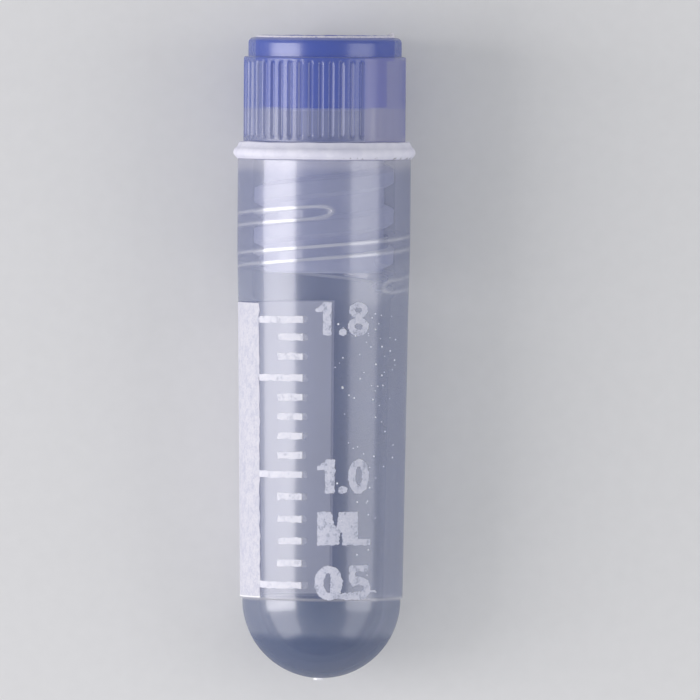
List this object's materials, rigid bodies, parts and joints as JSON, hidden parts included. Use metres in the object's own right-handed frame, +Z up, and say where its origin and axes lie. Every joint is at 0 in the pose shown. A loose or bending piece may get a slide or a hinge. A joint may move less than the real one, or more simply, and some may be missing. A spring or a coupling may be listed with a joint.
{
  "type": "cryovial",
  "caption": "Round-bottomed cryogenic vial with an internally threaded mouth, ribbed screw cap, soft seal ring and blue colour insert; it keeps small frozen samples.",
  "frame": {"origin": "on the surface the vial lies on, under the middle of its box", "axes": "+Y along the vial from the round bottom towards the cap, +Z up, the printed scale facing up"},
  "size_m": [0.0136, 0.0482, 0.0136],
  "materials": {
    "clear_polypropylene": "natural translucent, moulded smooth",
    "cap_polypropylene": "natural translucent, ribbed",
    "white_silicone": "soft, matt white",
    "blue_plastic": "satin blue"
  },
  "bodies": {
    "vial": {"tube": "clear_polypropylene"},
    "washer": {"seal_ring": "white_silicone"},
    "lid": {"cap": "cap_polypropylene", "colour_insert": "blue_plastic"}
  },
  "joints": [
    {"name": "cap_lift", "type": "slide", "parent": "vial", "child": "washer", "axis": [0, 0.9997, 0.0226], "range_m": [0, 0.00859]},
    {"name": "cap_turn", "type": "hinge", "parent": "washer", "child": "lid", "pos_m": [0, 0.0161, 0.00682], "axis": [0, 0.9997, 0.0226], "range_deg": [0, 1032]}
  ],
  "couplings": [
    {"joint": "cap_turn", "follows": "cap_lift", "rad_per_m": 2094.4}
  ]
}
